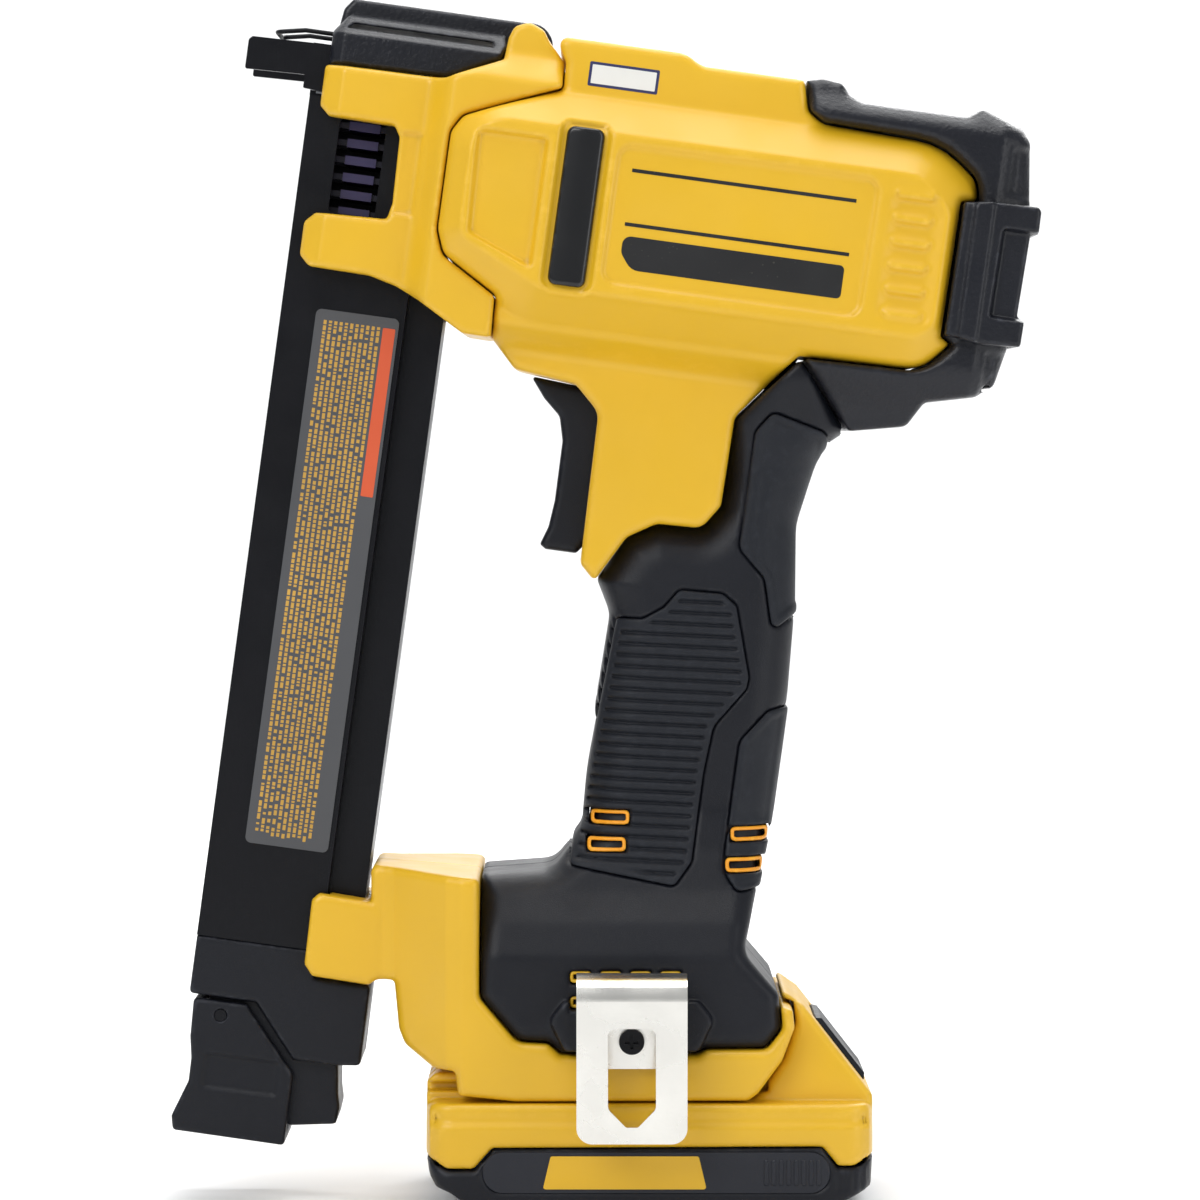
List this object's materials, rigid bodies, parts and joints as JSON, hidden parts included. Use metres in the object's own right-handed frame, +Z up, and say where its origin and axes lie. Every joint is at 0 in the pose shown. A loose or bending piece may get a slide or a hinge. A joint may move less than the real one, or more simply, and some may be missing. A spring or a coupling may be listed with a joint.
{
  "type": "cordless cable stapler",
  "caption": "Yellow and black cordless cable stapler with a slide-down staple magazine, belt hook and slide-on battery.",
  "frame": {"origin": "on the battery's flat bottom, in the tool's plane of symmetry, at half its length", "axes": "+Z up from the battery's bottom, nose towards -X, tool's left side towards -Y"},
  "size_m": [0.2217, 0.0897, 0.3103],
  "materials": {
    "yellow_shell": "semi-gloss moulded",
    "black_shell": "fine texture",
    "soft_grip": "matt",
    "black_metal": "satin",
    "steel": "ground",
    "nickel": "satin plate",
    "aluminium": "satin",
    "brass": "bright",
    "vent_orange": "semi-gloss moulded",
    "label_grey": "printed label",
    "saddle_purple": "moulded",
    "copper": "lacquered winding",
    "cell_wrap": "shrink sleeve",
    "bumper_urethane": "smooth"
  },
  "bodies": {
    "frame": {"main_housing_left": "yellow_shell", "main_housing_right": "yellow_shell", "nose_housing_left": "yellow_shell", "nose_housing_right": "yellow_shell", "side_inserts": "black_shell", "rear_cover": "black_shell", "rear_clip": "black_shell", "grip_shell_left": "black_shell", "grip_shell_right": "black_shell", "grip_pad_front": "soft_grip", "grip_pad_rear": "soft_grip", "grip_pad_upper": "soft_grip", "grip_vent_liners": "vent_orange", "foot_vent_grilles": "yellow_shell", "foot_bracket_left": "yellow_shell", "foot_bracket_right": "yellow_shell", "clamp_bolt": "black_metal", "belt_hook": "nickel", "hook_screw": "black_metal", "hook_nuts": "brass", "housing_screws": "black_metal", "nosepiece": "steel", "driver_bumper": "bumper_urethane", "return_springs": "steel", "spring_anchor": "steel", "stator": "copper", "motor_frame": "aluminium", "motor_bearings": "steel", "solenoid": "steel", "control_module": "black_shell", "trigger_switch": "black_shell", "trigger_spring": "steel", "trip_springs": "steel", "magazine_rail": "black_metal", "jam_door_pin": "steel", "terminal_block": "black_shell", "wire_loom": "soft_grip"},
    "jam_door": {"jam_door": "black_shell", "door_bail": "steel"},
    "contact_trip": {"contact_trip": "black_metal"},
    "trigger": {"trigger": "black_shell"},
    "magazine": {"magazine_channel": "black_metal", "magazine_labels": "label_grey", "magazine_base": "black_shell", "latch_pin": "steel", "staples": "steel", "staple_saddles": "saddle_purple"},
    "magazine_latch": {"magazine_latch": "black_shell"},
    "pusher": {"pusher": "black_shell", "pusher_spring": "steel"},
    "driver": {"driver": "steel"},
    "rotor": {"flywheel_rotor": "steel"},
    "battery": {"battery_case": "yellow_shell", "battery_base": "black_shell", "battery_screws": "black_metal", "battery_panels": "label_grey", "battery_cells": "cell_wrap", "battery_contacts": "brass", "button_spring": "steel"},
    "battery_button": {"battery_button": "black_shell"}
  },
  "joints": [
    {"name": "jam_door_hinge", "type": "hinge", "parent": "frame", "child": "jam_door", "pos_m": [-0.0181, 0, 0.29812], "axis": [0, 1, 0], "range_deg": [0, 65]},
    {"name": "contact_trip_slide", "type": "slide", "parent": "frame", "child": "contact_trip", "axis": [0.9907, 0, -0.1357], "range_m": [0, 0.008], "stiffness_N_per_m": 300, "springref_m": -0.01},
    {"name": "trigger_slide", "type": "slide", "parent": "frame", "child": "trigger", "axis": [0.9781, 0, -0.2079], "range_m": [0, 0.0065], "stiffness_N_per_m": 500, "springref_m": -0.006},
    {"name": "magazine_slide", "type": "slide", "parent": "frame", "child": "magazine", "axis": [-0.1357, 0, -0.9907], "range_m": [0, 0.095]},
    {"name": "magazine_latch_hinge", "type": "hinge", "parent": "magazine", "child": "magazine_latch", "pos_m": [-0.0978, 0, 0.04863], "axis": [0, -1, 0], "range_deg": [0, 5], "stiffness_Nm_per_rad": 0.6, "springref_deg": -11.46},
    {"name": "pusher_slide", "type": "slide", "parent": "magazine", "child": "pusher", "axis": [-0.1357, 0, -0.9907], "range_m": [0, 0.09], "stiffness_N_per_m": 60, "springref_m": -0.08},
    {"name": "driver_slide", "type": "slide", "parent": "frame", "child": "driver", "axis": [-0.9907, 0, 0.1357], "range_m": [0, 0.034], "stiffness_N_per_m": 150, "springref_m": -0.02},
    {"name": "flywheel_spin", "type": "hinge", "parent": "frame", "child": "rotor", "pos_m": [0.01045, 0, 0.25233], "axis": [0, 1, 0], "continuous": true},
    {"name": "battery_slide", "type": "slide", "parent": "frame", "child": "battery", "axis": [1, 0, 0], "range_m": [0, 0.09]},
    {"name": "battery_button_press", "type": "slide", "parent": "battery", "child": "battery_button", "axis": [-0.7878, 0, -0.6159], "range_m": [0, 0.0035], "stiffness_N_per_m": 700, "springref_m": -0.004}
  ]
}
